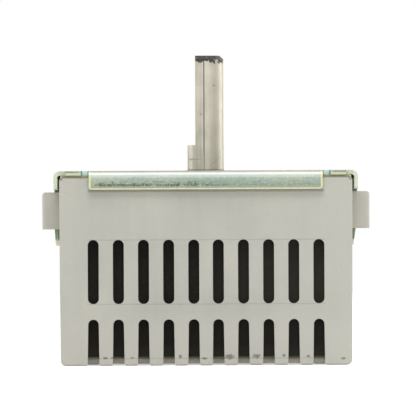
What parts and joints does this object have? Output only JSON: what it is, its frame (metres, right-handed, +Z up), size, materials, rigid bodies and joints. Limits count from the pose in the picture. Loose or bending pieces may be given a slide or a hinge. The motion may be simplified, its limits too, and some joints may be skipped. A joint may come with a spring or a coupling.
{
  "type": "infinite switch",
  "caption": "Infinite switch for a cooker plate: a slotted grey moulded box with a steel top plate, a D shaft, a cam, a heated bimetal and push-on tabs.",
  "frame": {"origin": "shaft axis at the top face of the mounting plate, midway between the two screw holes", "axes": "+X along the housing's width and the line of the screw holes, +Y to the back, +Z up along the shaft"},
  "size_m": [0.0544, 0.0418, 0.0514],
  "materials": {
    "grey_moulding": "fine matt moulding, warm light grey",
    "passivated_steel": "zinc plated and passivated yellow and green",
    "pressed_board": "pressed board, grey brown",
    "cast_zinc": "die-cast zinc alloy, bare",
    "spring_steel": "bright spring steel",
    "plated_steel": "zinc plated steel",
    "brown_phenolic": "brown phenolic moulding",
    "black_phenolic": "black phenolic moulding",
    "brass": "stamped brass",
    "spring_copper": "copper alloy spring strip",
    "silver": "silver contact rivet",
    "bimetal": "rolled bimetal",
    "resistance_ribbon": "resistance alloy, heat-tinted",
    "glass_sleeve": "woven glass over mica",
    "ceramic": "white steatite"
  },
  "bodies": {
    "case": {"housing": "grey_moulding", "mounting_plate": "passivated_steel", "insulating_sheet": "pressed_board", "friction_washer": "spring_steel", "lever_pivot_pin": "spring_steel", "pivot_clip": "spring_steel", "lever_spring": "spring_steel", "heater_lead": "resistance_ribbon", "arm_rivets": "brass", "line_blade": "spring_copper", "line_contacts": "silver", "line_pusher": "ceramic", "line_rivets": "brass", "fixed_contacts": "silver", "terminal_line_1": "brass", "terminal_heater_1": "brass", "terminal_line_2": "brass", "terminal_heater_2": "brass", "terminal_pilot": "brass", "mechanism_base": "black_phenolic", "base_card": "pressed_board"},
    "rotor": {"shaft": "cast_zinc", "cam": "brown_phenolic"},
    "lever": {"control_lever": "plated_steel", "calibration_screw": "brass", "cam_follower": "ceramic", "bimetal_rivets": "plated_steel"},
    "bimetal": {"bimetal_strip": "bimetal", "heater_sleeve": "glass_sleeve", "heater_winding": "resistance_ribbon", "push_button": "ceramic"},
    "arm": {"contact_arm": "spring_copper", "cycling_contact": "silver"}
  },
  "joints": [
    {"name": "shaft_turn", "type": "hinge", "parent": "case", "child": "rotor", "pos_m": [0, 0, 0], "axis": [0, 0, -1], "range_deg": [0, 290]},
    {"name": "lever_swing", "type": "hinge", "parent": "case", "child": "lever", "pos_m": [-0.0186, 0.011, -0.0122], "axis": [0, 0, -1], "range_deg": [0, 4.7], "deforming": ["lever_spring"]},
    {"name": "bimetal_flex", "type": "hinge", "parent": "lever", "child": "bimetal", "pos_m": [-0.01325, 0.01195, -0.0135], "axis": [0, 0, 1], "range_deg": [0, 2], "stiffness_Nm_per_rad": 1.7, "deforming": ["heater_lead"]},
    {"name": "arm_flex", "type": "hinge", "parent": "case", "child": "arm", "pos_m": [-0.0156, 0.01477, -0.0135], "axis": [0, 0, 1], "range_deg": [0, 1.85]}
  ],
  "couplings": [
    {"joint": "lever_swing", "follows": "shaft_turn", "ratio": 0.015951},
    {"joint": "arm_flex", "follows": "bimetal_flex", "ratio": 0.9103}
  ]
}
